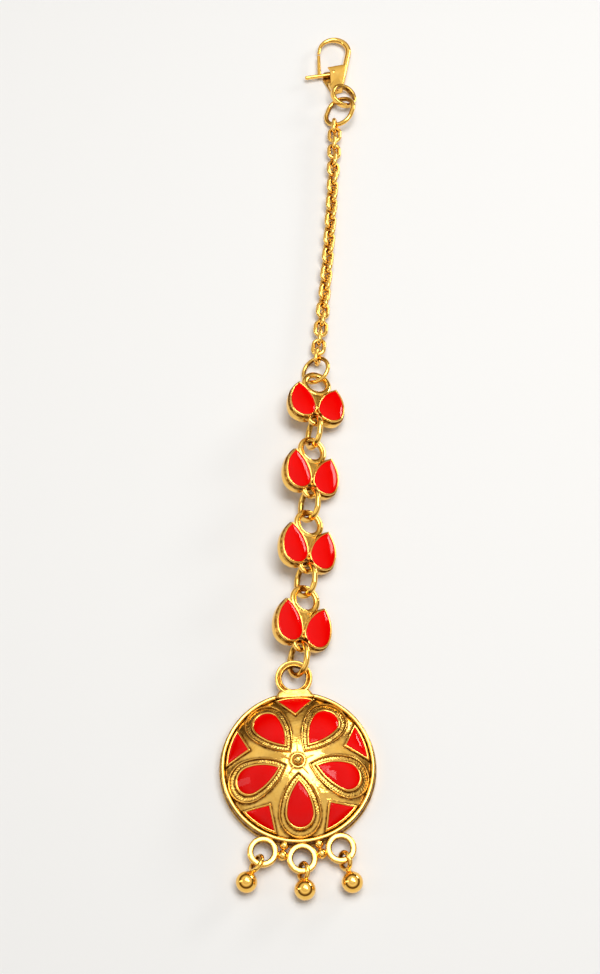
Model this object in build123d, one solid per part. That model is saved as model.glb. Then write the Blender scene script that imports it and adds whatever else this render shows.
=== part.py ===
from build123d import *
from math import atan2, cos, degrees, pi, radians, sin, sqrt, tan
import os

# A maang tikka: a clasp, a chain, four two-leaf links and a domed pendant with three drops.
# It lies on the surface z = 0. The origin is the centre of the pendant's flat back, +Y runs
# towards the clasp and +Z points up, away from the surface. All sizes are in millimetres.

# pendant disc
disc_radius = 15.0
disc_lower_height = 1.25
disc_edge_height = 2.5
rim_wire_radius = 0.42
rim_wire_circle = 14.32
dome_radius = 13.95
dome_foot = 2.45
dome_top = 6.6
pendant_turn = 2.7
petal_count = 5
relief_low = -0.35
relief_high = 0.42
pocket_depth = 0.5
fillet_line = 0.42
petal_centre = 9.6
petal_radius = 2.42
petal_reach = 5.6
petal_side_radius = 9.5
petal_frame_centre = 9.85
petal_frame_grow = 1.6
cell_outer = 13.25
cell_inner = 9.85
cell_half_angle = 13.8
boss_radius = 0.95
boss_collar_radius = 1.55
boss_collar_rise = 0.2
star_length = 3.3
star_width = 0.42
star_height = 0.3

# pendant loops: centre distance, mean radius, band width, band thickness
top_loop_place = 17.5
top_loop_mean = 2.98
top_loop_band = 1.32
top_loop_thick = 1.5
top_loop_height = 2.62
eye_place = 17.5
eye_mean = 2.33
eye_band = 1.2
eye_thick = 1.45
eye_height = 2.0
eye_spread = 24.6
web_place = 17.1
web_radius = 1.0
blob_place = 15.2
blob_radius = 0.9
loop_base_foot = (4.3, 14.2)
loop_base_top = (2.9, 16.1)
band_corner = 0.4

# drops
ball_radius = 2.0
drop_wire = 0.9
drop_ring_mean = 1.56
drop_ring_place = 2.42
drop_collar_radius = 0.8
drop_roll = -60.0
drops = [
    {"eye": -1, "bearing": -118.0, "reach": 6.3},
    {"eye": 0, "bearing": -85.0, "reach": 5.7},
    {"eye": 1, "bearing": -72.0, "reach": 6.6},
]

# leaf link, measured from the centre of its top loop
leaf_centre_x = 2.95
leaf_centre_y = -7.1
leaf_radius = 2.5
leaf_reach = 5.8
leaf_side_radius = 7.0
leaf_lean = 10.5
leaf_upper_grow = 0.36
leaf_lower_grow = 0.62
link_half = 1.1
link_step = 0.35
enamel_depth = 0.5
enamel_gap = 0.03
enamel_crown = 0.06
link_loop_mean = 2.58
link_loop_band = 1.26
link_loop_thick = 1.1
link_eye_y = -9.3
link_eye_mean = 1.45
link_eye_band = 0.86
link_eye_thick = 1.0
link_eye_corner = 0.25
link_hole_radius = 1.05
neck_top = -2.35
neck_half_width = 1.7
neck_foot = -7.05
neck_half = 0.75
bead_radius = 0.45
bead_y = -7.1
bead_z = 0.7

# where each leaf link lies, from the clasp to the pendant
links = [
    {"x": 3.83, "y": 82.75, "z": 2.33, "turn": 1.0, "roll": 18.0, "pitch": 12.5, "ring_roll": -64.0},
    {"x": 2.85, "y": 66.55, "z": 3.35, "turn": 2.5, "roll": 26.0, "pitch": 5.0, "ring_roll": -52.0},
    {"x": 2.15, "y": 50.0, "z": 3.35, "turn": 2.5, "roll": 26.0, "pitch": 5.0, "ring_roll": -52.0},
    {"x": 1.35, "y": 33.5, "z": 3.38, "turn": 4.5, "roll": 26.0, "pitch": 4.5, "ring_roll": -54.0},
]

# connector rings
connector_wire = 1.2
connector_length = 7.6
connector_width = 6.9
connector_eye_y = -9.22
last_ring_end = (-0.5, 17.45, 2.4)

# top ring between the first leaf link and the chain
top_ring_mean = 2.92
top_ring_wire = 0.9
top_ring_place = (3.75, 86.5, 1.9)
top_ring_roll = -29.0
top_ring_pitch = 5.0

# chain
chain_count = 27
chain_wire = 0.9
chain_link_length = 4.29
chain_link_width = 3.2
chain_clearance = 0.16
ring_clearance = 0.2
chain_lift = 0.06
chain_easing = 7
chain_start_bearing = 6.2
chain_end_bearing = 1.6
chain_end_roll = -104.0
chain_middle_roll = -48.0

# clasp ring
clasp_ring_wire = 1.05
clasp_ring_length = 8.5
clasp_ring_width = 7.3
clasp_ring_turn = 18.0
clasp_ring_roll = -24.0
clasp_ring_near_height = 1.67
clasp_ring_far_height = 2.0

# clasp, measured from its neck
neck_place = (9.05, 160.95)
clasp_middle = 1.25
claw_wire_radius = 0.65
claw_tip_radius = 0.36
claw_tip_length = 1.3
bow_centre = (-0.75, 11.45)
bow_radius = 3.4
bow_tip_angle = 172.0
bow_arm_angle = -14.0
arm_foot = (0.9, 1.6)
body_depth = 2.3
cheek_thickness = 0.5
pouch_corner = (-3.2, 5.9)
pouch_side = (-3.35, 3.7)
pouch_foot_left = (-1.3, -0.3)
pouch_foot_right = (1.25, -0.3)
pouch_arm = (2.1, 7.05)
slot_floor = 1.3
slot_wall = 0.9
cheek_cut = ((-2.6, 7.5), (-1.75, 5.2), (-1.6, 0.9))
cheek_cut_side = -4.5
tail_place = (1.35, -2.0, 1.9)
tail_mean = 2.7
tail_band = 0.8
tail_thick = 1.4
tail_corner = 0.35
tail_roll = 24.0
tail_pitch = 2.0
tail_neck_radius = 1.05
pivot_place = (-0.9, 4.7)
pivot_radius = 0.42
pivot_clearance = 0.05
lever_hub_radius = 0.95
lever_thickness = 0.95
gate_width = 0.75
gate_gap = 0.12
gate_foot = (-4.15, 4.25)
tab_tip = (-7.5, 3.65)
tab_width = 0.75
lever_arm_width = 0.8


def bearing_point(distance, bearing):
    """Point at a distance from the origin along a bearing in degrees from +X."""
    return (distance * cos(radians(bearing)), distance * sin(radians(bearing)))


def laid(shape, x, y, z, turn, roll, pitch):
    """Shape laid at a place: turned clockwise, rolled left side up, pitched near end up."""
    return Pos(x, y, z) * Rot(0, 0, -turn) * Rot(-pitch, 0, 0) * Rot(0, roll, 0) * shape


def band_ring(mean, band, thick, corner):
    """Flat cast ring about +Z with rounded edges, centred on the origin."""
    section = Plane.XZ * (Pos(mean, 0) * RectangleRounded(band, thick, corner))
    return revolve(section, axis=Axis.Z)


def oval_ring(length, width, wire):
    """Wire ring in the XY plane with two half-round ends and straight sides along Y."""
    end_mean = (width - wire) / 2
    straight = length - width
    turned = Torus(end_mean, wire / 2)
    reach = length
    far_half = turned & (Pos(0, reach / 2, 0) * Box(2 * reach, reach, reach))
    near_half = turned & (Pos(0, -reach / 2, 0) * Box(2 * reach, reach, reach))
    ring = (Pos(0, straight / 2, 0) * far_half) + (Pos(0, -straight / 2, 0) * near_half)
    for side in (-1, 1):
        bar = Cylinder(wire / 2, straight, rotation=(90, 0, 0))
        ring += Pos(side * end_mean, 0, 0) * bar
    return ring


def teardrop(radius, reach, side_radius, grow):
    """Drop outline: a round foot at the origin and a tip along +Y, its sides two long arcs.

    Growing it moves every arc outward by the same distance about its own centre.
    """
    spread = side_radius - radius
    leave_y = (2 * side_radius * radius - radius**2 - reach**2) / (2 * reach * spread)
    leave_x = sqrt(1 - leave_y**2)
    centre_x = -spread * leave_x
    centre_y = -spread * leave_y
    foot = radius + grow
    side = side_radius + grow
    tip = (0, centre_y + sqrt(side**2 - centre_x**2))
    leave = (foot * leave_x, foot * leave_y)
    opposite = (-leave[0], leave[1])
    tip_angle = atan2(tip[1] - centre_y, tip[0] - centre_x)
    leave_angle = atan2(leave[1] - centre_y, leave[0] - centre_x)
    middle = (tip_angle + leave_angle) / 2
    right_middle = (centre_x + side * cos(middle), centre_y + side * sin(middle))
    left_middle = (-right_middle[0], right_middle[1])
    outline = ThreePointArc(leave, (0, -foot), opposite)
    outline += ThreePointArc(opposite, left_middle, tip)
    outline += ThreePointArc(tip, right_middle, leave)
    return make_face(outline)


dome_rise = dome_top - dome_foot
dome_sphere = (dome_radius**2 + dome_rise**2) / (2 * dome_rise)
dome_centre_z = dome_top - dome_sphere


def dome_shell(low, high):
    """Space between two heights above the dome's surface."""
    outer = Sphere(dome_sphere + high)
    inner = Sphere(dome_sphere + low)
    return Pos(0, 0, dome_centre_z) * (outer - inner)


def on_dome(face, low, high):
    """A flat outline raised as a layer that follows the dome."""
    tall = extrude(face, 2 * dome_top)
    return tall & dome_shell(low, high)


def petal_face(index, grow, centre=petal_centre):
    """Outline of one petal, its tip towards the boss."""
    bearing = -90 + index * 360 / petal_count
    drop = teardrop(petal_radius, petal_reach, petal_side_radius, grow)
    return Rot(0, 0, bearing) * (Pos(centre, 0) * (Rot(0, 0, 90) * drop))


def cell_face(index, grow):
    """Outline of one three-cornered cell between two petals, its point inward."""
    bearing = -90 + (index + 0.5) * 360 / petal_count
    left = bearing_point(cell_outer, cell_half_angle)
    right = bearing_point(cell_outer, -cell_half_angle)
    point = (cell_inner, 0)
    outline = ThreePointArc(left, (cell_outer, 0), right)
    outline += Line(right, point)
    outline += Line(point, left)
    face = make_face(outline)
    if grow != 0:
        face = offset(face, amount=grow)
    return Rot(0, 0, bearing) * face


def pendant_blank():
    """Stepped edge, the wire round its rim and the domed front, turned about +Z."""
    rim_outer = (rim_wire_circle + rim_wire_radius, disc_edge_height)
    rim_inner = (rim_wire_circle - rim_wire_radius, disc_edge_height)
    rim_top = (rim_wire_circle, disc_edge_height + rim_wire_radius)
    foot_z = dome_centre_z + sqrt(dome_sphere**2 - rim_inner[0] ** 2)
    foot_angle = atan2(foot_z - dome_centre_z, rim_inner[0])
    middle_angle = (foot_angle + pi / 2) / 2
    dome_middle = (dome_sphere * cos(middle_angle), dome_centre_z + dome_sphere * sin(middle_angle))
    profile = Line((0, 0), (disc_radius, 0))
    profile += Line((disc_radius, 0), (disc_radius, disc_lower_height))
    profile += Line((disc_radius, disc_lower_height), (rim_outer[0], disc_lower_height))
    profile += Line((rim_outer[0], disc_lower_height), rim_outer)
    profile += ThreePointArc(rim_outer, rim_top, rim_inner)
    profile += Line(rim_inner, (rim_inner[0], foot_z))
    profile += ThreePointArc((rim_inner[0], foot_z), dome_middle, (0, dome_top))
    profile += Line((0, dome_top), (0, 0))
    return revolve(Plane.XZ * make_face(profile), axis=Axis.Z)


def pendant_boss():
    """Ball at the centre on a low collar, with short rays between the petals."""
    boss = Pos(0, 0, dome_top + boss_radius / 2) * Sphere(boss_radius)
    collar_face = Circle(boss_collar_radius)
    boss += on_dome(collar_face, relief_low, boss_collar_rise)
    for index in range(petal_count):
        bearing = -90 + (index + 0.5) * 360 / petal_count
        ray = Rot(0, 0, bearing) * (Pos(star_length / 2, 0) * Rectangle(star_length, star_width))
        boss += on_dome(ray, relief_low, star_height)
    return boss


def pendant_loops():
    """Top loop on its flared base, and three eyes below joined by small webs."""
    loops = Pos(0, top_loop_place, top_loop_height) * band_ring(
        top_loop_mean, top_loop_band, top_loop_thick, band_corner)
    foot_x, foot_y = loop_base_foot
    top_x, top_y = loop_base_top
    flare = Polyline((-foot_x, foot_y), (foot_x, foot_y), (top_x, top_y), (-top_x, top_y), close=True)
    half = top_loop_thick / 2
    base = layer(make_face(flare), top_loop_height - half, top_loop_height + half)
    base -= Pos(0, top_loop_place, top_loop_height) * Cylinder(top_loop_mean, 2 * top_loop_thick)
    loops += base
    for step in (-1, 0, 1):
        x, y = bearing_point(eye_place, -90 + step * eye_spread)
        loops += Pos(x, y, eye_height) * band_ring(eye_mean, eye_band, eye_thick, band_corner)
    for step in (-0.5, 0.5):
        for place, radius in ((web_place, web_radius), (blob_place, blob_radius)):
            x, y = bearing_point(place, -90 + step * eye_spread)
            loops += Pos(x, y, eye_height) * Sphere(radius)
    return loops


def make_pendant_disc():
    """The whole cast pendant: dome, petals, cells, boss, loop and eyes."""
    body = pendant_blank()
    for index in range(petal_count):
        frame_outer = petal_face(index, petal_frame_grow, petal_frame_centre)
        frame_inner = petal_face(index, petal_frame_grow - fillet_line, petal_frame_centre)
        body += on_dome(frame_outer - frame_inner, relief_low, relief_high)
        seat_outer = petal_face(index, fillet_line)
        body += on_dome(seat_outer, relief_low, relief_high)
        body += on_dome(cell_face(index, fillet_line), relief_low, relief_high)
    body += pendant_boss()
    body += pendant_loops()
    for index in range(petal_count):
        body -= on_dome(petal_face(index, 0), -pocket_depth, dome_top)
        body -= on_dome(cell_face(index, 0), -pocket_depth, dome_top)
    return Rot(0, 0, pendant_turn) * body


def make_dome_enamel(face):
    """Enamel fill that follows the dome, a little clear of its pocket."""
    fill = on_dome(face, enamel_gap - pocket_depth, relief_high - enamel_crown)
    return Rot(0, 0, pendant_turn) * fill


def make_drop(row):
    """Ball on a short wire loop that hangs through one of the pendant's eyes."""
    eye_bearing = -90 + pendant_turn + row["eye"] * eye_spread
    x, y = bearing_point(eye_place, eye_bearing)
    reach = row["reach"]
    ball = Pos(0, -reach, 0) * Sphere(ball_radius)
    ring = Rot(0, drop_roll, 0) * Torus(drop_ring_mean, drop_wire / 2)
    ring = Pos(0, -drop_ring_place, 0) * ring
    collar_top = drop_ring_place + drop_ring_mean
    collar_length = reach - collar_top
    collar = Cylinder(drop_collar_radius, collar_length, rotation=(90, 0, 0))
    collar = Pos(0, -collar_top - collar_length / 2, 0) * collar
    drop = ball + ring + collar
    return Pos(x, y, eye_height) * Rot(0, 0, row["bearing"] + 90) * drop


def leaf_face(side, grow):
    """Outline of one leaf of a link; side is -1 for the left leaf and 1 for the right."""
    leaf = teardrop(leaf_radius, leaf_reach, leaf_side_radius, grow)
    return Pos(side * leaf_centre_x, leaf_centre_y) * (Rot(0, 0, -side * leaf_lean) * leaf)


def layer(face, low, high):
    """Flat outline given a thickness between two heights."""
    return Pos(0, 0, low) * extrude(face, high - low)


def make_leaf_link():
    """Two leaf-shaped cups side by side, a loop above them and a small eye behind the notch."""
    body = band_ring(link_loop_mean, link_loop_band, link_loop_thick, band_corner)
    for side in (-1, 1):
        body += layer(leaf_face(side, leaf_lower_grow), -link_half, link_step)
        body += layer(leaf_face(side, leaf_upper_grow), link_step, link_half)
    neck = Polyline((-neck_half_width, neck_top), (neck_half_width, neck_top), (0, neck_foot), close=True)
    body += layer(make_face(neck), -neck_half, neck_half)
    body += Pos(0, bead_y, bead_z) * Sphere(bead_radius)
    body += Pos(0, link_eye_y, 0) * band_ring(
        link_eye_mean, link_eye_band, link_eye_thick, link_eye_corner)
    body -= Pos(0, link_eye_y, 0) * Cylinder(link_hole_radius, 4 * link_half)
    for side in (-1, 1):
        body -= layer(leaf_face(side, 0), link_half - enamel_depth, 2 * link_half)
    return body


def make_leaf_enamel(side):
    """Enamel fill of one leaf, a little clear of its pocket."""
    low = link_half - enamel_depth + enamel_gap
    return layer(leaf_face(side, -enamel_gap), low, link_half + enamel_crown)


def on_link(row, x, y, z):
    """Where a point of a leaf link comes to lie."""
    marker = laid(Pos(x, y, z), row["x"], row["y"], row["z"], row["turn"], row["roll"], row["pitch"])
    return marker.position


def ring_between(far, near, roll, ring):
    """A ring laid along the line from near to far, rolled about that line."""
    far = Vector(*far)
    near = Vector(*near)
    along = (far - near).normalized()
    lift = (Vector(0, 0, 1) - along * along.Z).normalized()
    side = along.cross(lift)
    angle = radians(-roll)
    x_dir = side * cos(angle) + lift * sin(angle)
    z_dir = lift * cos(angle) - side * sin(angle)
    middle = (far + near) * 0.5
    return Plane(origin=middle, x_dir=x_dir, z_dir=z_dir).location * ring


def make_connector_ring(index):
    """Oval wire ring from the eye of one leaf link to the next loop."""
    far = on_link(links[index], 0, connector_eye_y, 0)
    mean_length = connector_length - connector_wire
    if index + 1 < len(links):
        target = on_link(links[index + 1], 0, 0, 0)
    else:
        target = Vector(*last_ring_end)
    near = far + (target - far).normalized() * mean_length
    ring = oval_ring(connector_length, connector_width, connector_wire)
    return ring_between(far, near, links[index]["ring_roll"], ring)


def make_top_ring():
    """Round wire ring that joins the first leaf link to the chain."""
    ring = Torus(top_ring_mean, top_ring_wire / 2)
    return laid(ring, *top_ring_place, 0, top_ring_roll, top_ring_pitch)


chain_pitch = chain_link_length - 2 * chain_wire - chain_clearance
chain_end_reach = chain_pitch / 2 + chain_clearance / 2 - ring_clearance
chain_start_y = top_ring_place[1] + top_ring_mean + chain_end_reach - top_ring_wire / 2
chain_start_x = top_ring_place[0] + (chain_start_y - top_ring_place[1]) * tan(radians(chain_start_bearing))


def chain_places():
    """Place, bearing and roll of every chain link, along a gently straightening line."""
    rows = []
    x = chain_start_x
    y = chain_start_y
    for index in range(chain_count):
        share = index / (chain_count - 1)
        bearing = chain_start_bearing + share * (chain_end_bearing - chain_start_bearing)
        links_to_end = min(index, chain_count - 1 - index)
        weight = min(1, links_to_end / chain_easing)
        roll = chain_end_roll + weight * (chain_middle_roll - chain_end_roll)
        steepness = max(abs(sin(radians(roll))), abs(cos(radians(roll))))
        height = chain_lift + chain_wire / 2 + steepness * (chain_link_width - chain_wire) / 2
        rows.append({"x": x, "y": y, "z": height, "turn": bearing, "roll": roll + 90 * (index % 2)})
        x += chain_pitch * sin(radians(bearing))
        y += chain_pitch * cos(radians(bearing))
    return rows


def make_chain():
    """Cable chain of loose oval links, each standing across its neighbours."""
    link = oval_ring(chain_link_length, chain_link_width, chain_wire)
    placed = []
    for row in chain_places():
        placed.append(laid(link, row["x"], row["y"], row["z"], row["turn"], row["roll"], 0))
    return Compound(children=[solid for shape in placed for solid in shape.solids()])


def make_clasp_ring():
    """Oval jump ring between the last chain link and the clasp's tail."""
    last = chain_places()[-1]
    bar_offset = chain_end_reach - clasp_ring_wire / 2
    near_x = last["x"] + bar_offset * sin(radians(last["turn"]))
    near_y = last["y"] + bar_offset * cos(radians(last["turn"]))
    mean_length = clasp_ring_length - clasp_ring_wire
    far_x = near_x + mean_length * sin(radians(clasp_ring_turn))
    far_y = near_y + mean_length * cos(radians(clasp_ring_turn))
    near = (near_x, near_y, clasp_ring_near_height)
    far = (far_x, far_y, clasp_ring_far_height)
    ring = oval_ring(clasp_ring_length, clasp_ring_width, clasp_ring_wire)
    return ring_between(far, near, clasp_ring_roll, ring)


def bow_point(angle):
    """Point on the middle line of the clasp's bow."""
    x, y = bearing_point(bow_radius, angle)
    return (bow_centre[0] + x, bow_centre[1] + y)


def rod_between(start, end, radius, end_radius):
    """Round rod or cone between two points of the clasp's middle plane."""
    dx = end[0] - start[0]
    dy = end[1] - start[1]
    length = sqrt(dx**2 + dy**2)
    bearing = degrees(atan2(dy, dx))
    if radius == end_radius:
        rod = Cylinder(radius, length, rotation=(0, 90, 0))
    else:
        rod = Cone(radius, end_radius, length, rotation=(0, 90, 0))
    middle_x = (start[0] + end[0]) / 2
    middle_y = (start[1] + end[1]) / 2
    return Pos(middle_x, middle_y, 0) * Rot(0, 0, bearing) * rod


def claw_tip_point():
    """Free end of the claw."""
    start = bow_point(bow_tip_angle)
    x, y = bearing_point(claw_tip_length, bow_tip_angle + 90)
    return (start[0] + x, start[1] + y)


def make_claw():
    """Round bow of the clasp, tapering to its tip, and its arm down to the neck."""
    sweep_angle = bow_tip_angle - bow_arm_angle
    section = Plane.XZ * (Pos(bow_radius, 0) * Circle(claw_wire_radius))
    bow = Rot(0, 0, bow_arm_angle) * revolve(section, axis=Axis.Z, revolution_arc=sweep_angle)
    claw = Pos(bow_centre[0], bow_centre[1], 0) * bow
    start = bow_point(bow_tip_angle)
    tip = claw_tip_point()
    claw += rod_between(start, tip, claw_wire_radius, claw_tip_radius)
    claw += Pos(tip[0], tip[1], 0) * Sphere(claw_tip_radius)
    arm_start = bow_point(bow_arm_angle)
    claw += rod_between(arm_start, arm_foot, claw_wire_radius, claw_wire_radius)
    return claw


def make_clasp_body():
    """Trigger clasp without its lever: claw, slotted body, neck, tail ring and pivot pin."""
    outline = Polyline(pouch_corner, pouch_side, pouch_foot_left, pouch_foot_right, pouch_arm, close=True)
    body = layer(make_face(outline), -body_depth / 2, body_depth / 2)
    gap_half = body_depth / 2 - cheek_thickness
    wide = 2 * bow_radius
    slot_height = bow_centre[1] - slot_floor
    slot_right = pouch_arm[0] - slot_wall
    slot = Box(wide, slot_height, 2 * gap_half)
    slot_lean = degrees(atan2(pouch_arm[0] - arm_foot[0], pouch_arm[1] - arm_foot[1]))
    slot = Rot(0, 0, -slot_lean) * (Pos(-wide / 2, slot_height / 2, 0) * slot)
    slot_corner = slot_right - (pouch_arm[1] - slot_floor) * tan(radians(slot_lean))
    body -= Pos(slot_corner, slot_floor, 0) * slot
    top, middle, foot = cheek_cut
    opened = Polyline((cheek_cut_side, top[1]), top, middle, foot, (cheek_cut_side, foot[1]), close=True)
    body -= layer(make_face(opened), gap_half, body_depth)
    body += make_claw()
    body += Pos(pivot_place[0], pivot_place[1], 0) * Cylinder(pivot_radius, body_depth)
    body = Pos(0, 0, clasp_middle) * body
    tail = band_ring(tail_mean, tail_band, tail_thick, tail_corner)
    body += laid(tail, *tail_place, 0, tail_roll, tail_pitch)
    body += Pos(0, 0, clasp_middle) * Sphere(tail_neck_radius)
    bore = laid(Cylinder(tail_mean - tail_band / 2, tail_mean), *tail_place, 0, tail_roll, tail_pitch)
    body -= bore
    return Pos(neck_place[0], neck_place[1], 0) * body


def make_clasp_lever():
    """Lever: a hub on the pivot, an arm to the gate, the gate and the thumb tab."""
    tip = claw_tip_point()
    gate_end_y = tip[1] - claw_tip_radius - gate_gap
    gate_middle_y = (gate_foot[1] + gate_end_y) / 2
    gate_lean = degrees(atan2(tip[0] - gate_foot[0], gate_end_y - gate_foot[1]))
    gate = Rot(0, 0, -gate_lean) * Box(gate_width, gate_end_y - gate_foot[1], lever_thickness)
    gate_middle_x = (gate_foot[0] + tip[0]) / 2
    lever = Pos(gate_middle_x, gate_middle_y, 0) * gate
    for end, width in ((pivot_place, lever_arm_width), (tab_tip, tab_width)):
        dx = end[0] - gate_foot[0]
        dy = end[1] - gate_foot[1]
        bar = Box(sqrt(dx**2 + dy**2), width, lever_thickness)
        bar = Rot(0, 0, degrees(atan2(dy, dx))) * bar
        lever += Pos(gate_foot[0] + dx / 2, gate_foot[1] + dy / 2, 0) * bar
    for x, y in (gate_foot, tab_tip):
        lever += Pos(x, y, 0) * Cylinder(tab_width / 2, lever_thickness)
    lever += Pos(pivot_place[0], pivot_place[1], 0) * Cylinder(lever_hub_radius, lever_thickness)
    bore = Cylinder(pivot_radius + pivot_clearance, body_depth)
    lever -= Pos(pivot_place[0], pivot_place[1], 0) * bore
    return Pos(neck_place[0], neck_place[1], clasp_middle) * lever


def build_parts():
    """Every node of the jewel by name."""
    parts = {
        "clasp_body": make_clasp_body(),
        "clasp_lever": make_clasp_lever(),
        "clasp_ring": make_clasp_ring(),
        "chain": make_chain(),
        "top_ring": make_top_ring(),
        "pendant_disc": make_pendant_disc(),
    }
    link = make_leaf_link()
    fills = {"left": make_leaf_enamel(-1), "right": make_leaf_enamel(1)}
    for index, row in enumerate(links):
        spot = (row["x"], row["y"], row["z"], row["turn"], row["roll"], row["pitch"])
        number = index + 1
        parts[f"leaf_link_{number}"] = laid(link, *spot)
        for name, fill in fills.items():
            parts[f"leaf_enamel_{number}_{name}"] = laid(fill, *spot)
        parts[f"connector_ring_{number}"] = make_connector_ring(index)
    for index in range(petal_count):
        number = index + 1
        parts[f"petal_enamel_{number}"] = make_dome_enamel(petal_face(index, -enamel_gap))
        parts[f"corner_enamel_{number}"] = make_dome_enamel(cell_face(index, -enamel_gap))
    for index, row in enumerate(drops):
        parts[f"drop_{index + 1}"] = make_drop(row)
    return parts


def write_parts():
    """Write one STEP file for each node."""
    os.makedirs("parts", exist_ok=True)
    for name, shape in build_parts().items():
        export_step(shape, f"parts/{name}.step")
        print(name, round(shape.volume, 2))


write_parts()
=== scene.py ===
from math import asin, atan2, cos, hypot, pi, radians, sin, sqrt, tan
import bpy
import numpy as np
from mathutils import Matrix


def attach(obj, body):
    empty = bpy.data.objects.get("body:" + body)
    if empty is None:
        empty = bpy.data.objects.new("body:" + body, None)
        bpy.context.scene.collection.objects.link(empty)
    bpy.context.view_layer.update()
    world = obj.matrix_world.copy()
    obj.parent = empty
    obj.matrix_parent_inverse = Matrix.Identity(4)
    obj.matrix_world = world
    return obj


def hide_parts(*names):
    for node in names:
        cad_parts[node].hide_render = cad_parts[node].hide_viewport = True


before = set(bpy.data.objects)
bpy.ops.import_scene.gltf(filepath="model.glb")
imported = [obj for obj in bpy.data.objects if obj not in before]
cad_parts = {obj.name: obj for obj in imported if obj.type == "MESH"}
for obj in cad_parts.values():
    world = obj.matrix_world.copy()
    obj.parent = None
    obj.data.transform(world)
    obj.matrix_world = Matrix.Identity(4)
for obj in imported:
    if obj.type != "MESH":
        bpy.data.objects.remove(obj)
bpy.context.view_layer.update()  # the jewel lies on z = 0, the pendant's back centre is the origin, +Y runs to the clasp
print("stage: frame loaded,", len(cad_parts), "nodes")

mm = 0.001  # the jewel's sizes are in millimetres; its meshes, the looks and the studio are in metres
fullTurn = 2 * pi
sharpEdge = 50  # degrees; an edge sharper than this stays crisp


# the point at a distance from the origin: distance times the cosine and sine of its bearing in degrees
def onBearing(distance, bearing):
    return distance * cos(radians(bearing)), distance * sin(radians(bearing))


# a point moved by a length at an angle taken clockwise from +Y
def stepFrom(x, y, length, angle):
    ahead, aside = onBearing(length, angle)
    return x + aside, y + ahead


# turning matrices about the three axes, angle in degrees
def turnX(angle):
    c, s = onBearing(1, angle)
    return np.array([[1, 0, 0], [0, c, -s], [0, s, c]])


def turnY(angle):
    c, s = onBearing(1, angle)
    return np.array([[c, 0, s], [0, 1, 0], [-s, 0, c]])


def turnZ(angle):
    c, s = onBearing(1, angle)
    return np.array([[c, -s, 0], [s, c, 0], [0, 0, 1]])


# a shell is (points, quads, triangles, painted shade), the painted shade being 1 in a recess and 0 on a
# ridge, where it darkens the gold like shade; moving it is points times matrix plus place
def moved(shell, matrix=np.eye(3), place=(0, 0, 0)):
    points, quads, tris, hollow = shell
    return points @ matrix.T + np.array(place, float), quads, tris, hollow


# how a piece is laid: rolled left side up, then pitched near end up, then turned clockwise
def layMatrix(spot):
    return turnZ(-spot["turn"]) @ turnX(-spot["pitch"]) @ turnY(spot["roll"])


def laidAt(shells, spot):
    return [moved(shell, layMatrix(spot), (spot["x"], spot["y"], spot["z"])) for shell in shells]


# six times the volume is the sum over triangles of a . (b x c); a negative one means inside out
def facingOut(points, quads, tris, hollow):
    fan = np.vstack([tris, quads[:, [0, 1, 2]], quads[:, [0, 2, 3]]])
    a, b, c = (points[fan[:, k]] - points.mean(0) for k in range(3))
    if np.einsum("ij,ij->", a, np.cross(b, c)) < 0:
        return points, quads[:, ::-1], tris[:, ::-1], hollow
    return points, quads, tris, hollow


# closes a grid of points round its columns, and either round its rows too or with a pole at each end
def gridShell(grid, firstPole=None, lastPole=None, hollow=0.0):
    rows, columns = grid.shape[:2]
    points = grid.reshape(-1, 3)
    hollow = np.broadcast_to(hollow, (rows, columns)).ravel()
    loopRows = firstPole is None
    r, c = np.meshgrid(np.arange(rows if loopRows else rows - 1), np.arange(columns), indexing="ij")
    nextR, nextC = (r + 1) % rows, (c + 1) % columns
    corners = [r * columns + c, r * columns + nextC, nextR * columns + nextC, nextR * columns + c]
    quads = np.stack(corners, -1).reshape(-1, 4)
    tris = np.zeros((0, 3), int)
    if not loopRows:
        k = np.arange(columns)
        nextK = (k + 1) % columns
        last = (rows - 1) * columns
        pole = np.full(columns, len(points))
        firstFan, lastFan = [pole, nextK, k], [last + k, last + nextK, pole + 1]
        tris = np.vstack([np.stack(firstFan, -1), np.stack(lastFan, -1)])
        points = np.vstack([points, [firstPole], [lastPole]])
        hollow = np.hstack([hollow, hollow[:1], hollow[-1:]])
    return facingOut(points, quads, tris, hollow)


# a section carried along a path: point = path + across * section x + up * section y, up being +Z; an open
# path gets a pole at each end
def carried(path, across, section, closed=True, hollow=0.0):
    section = np.broadcast_to(section, (len(path),) + section.shape[-2:])
    across, up = np.broadcast_to(across, path.shape), np.array([0.0, 0.0, 1.0])
    grid = path[:, None] + across[:, None] * section[..., :1] + up * section[..., 1:]
    if closed:
        return gridShell(grid, hollow=hollow)
    return gridShell(grid, grid[0].mean(0), grid[-1].mean(0), hollow)


# length walked along a line of points: the running sum of the distances between them
def walkedAlong(line):
    return np.hstack([[0], np.cumsum(np.hypot(*np.diff(line, axis=0).T))])


# superellipse section: cosine and sine raised to a power below one square the corners off softly
def softSection(width, height, power, steps):
    a = (np.arange(steps) + 0.5) / steps * fullTurn
    c, s = np.cos(a), np.sin(a)
    x = width / 2 * np.sign(c) * np.abs(c) ** power
    y = height / 2 * np.sign(s) * np.abs(s) ** power
    return np.stack([x, y], -1)


# painted shade on the side of a ring's section that faces its hole: nine tenths of its depth there, squared
def innerSide(section):
    return 0.9 * np.clip(-section[:, 0] / section[:, 0].max(), 0, 1) ** 2


# wire ring: a circle's centre line split at its sides and pulled apart along Y
def ovalRing(length, width, wire, steps, around):
    a = (np.arange(steps) + 0.5) / steps * fullTurn
    bend = (width - wire) / 2
    stretch = np.sign(np.sin(a)) * (length - width) / 2
    path = np.stack([bend * np.cos(a), bend * np.sin(a) + stretch, 0 * a], -1)
    across = np.stack([np.cos(a), np.sin(a), 0 * a], -1)
    section = softSection(wire, wire, 1.0, around)
    # the side facing the hole is painted with shade
    return carried(path, across, section, hollow=innerSide(section))


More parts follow.
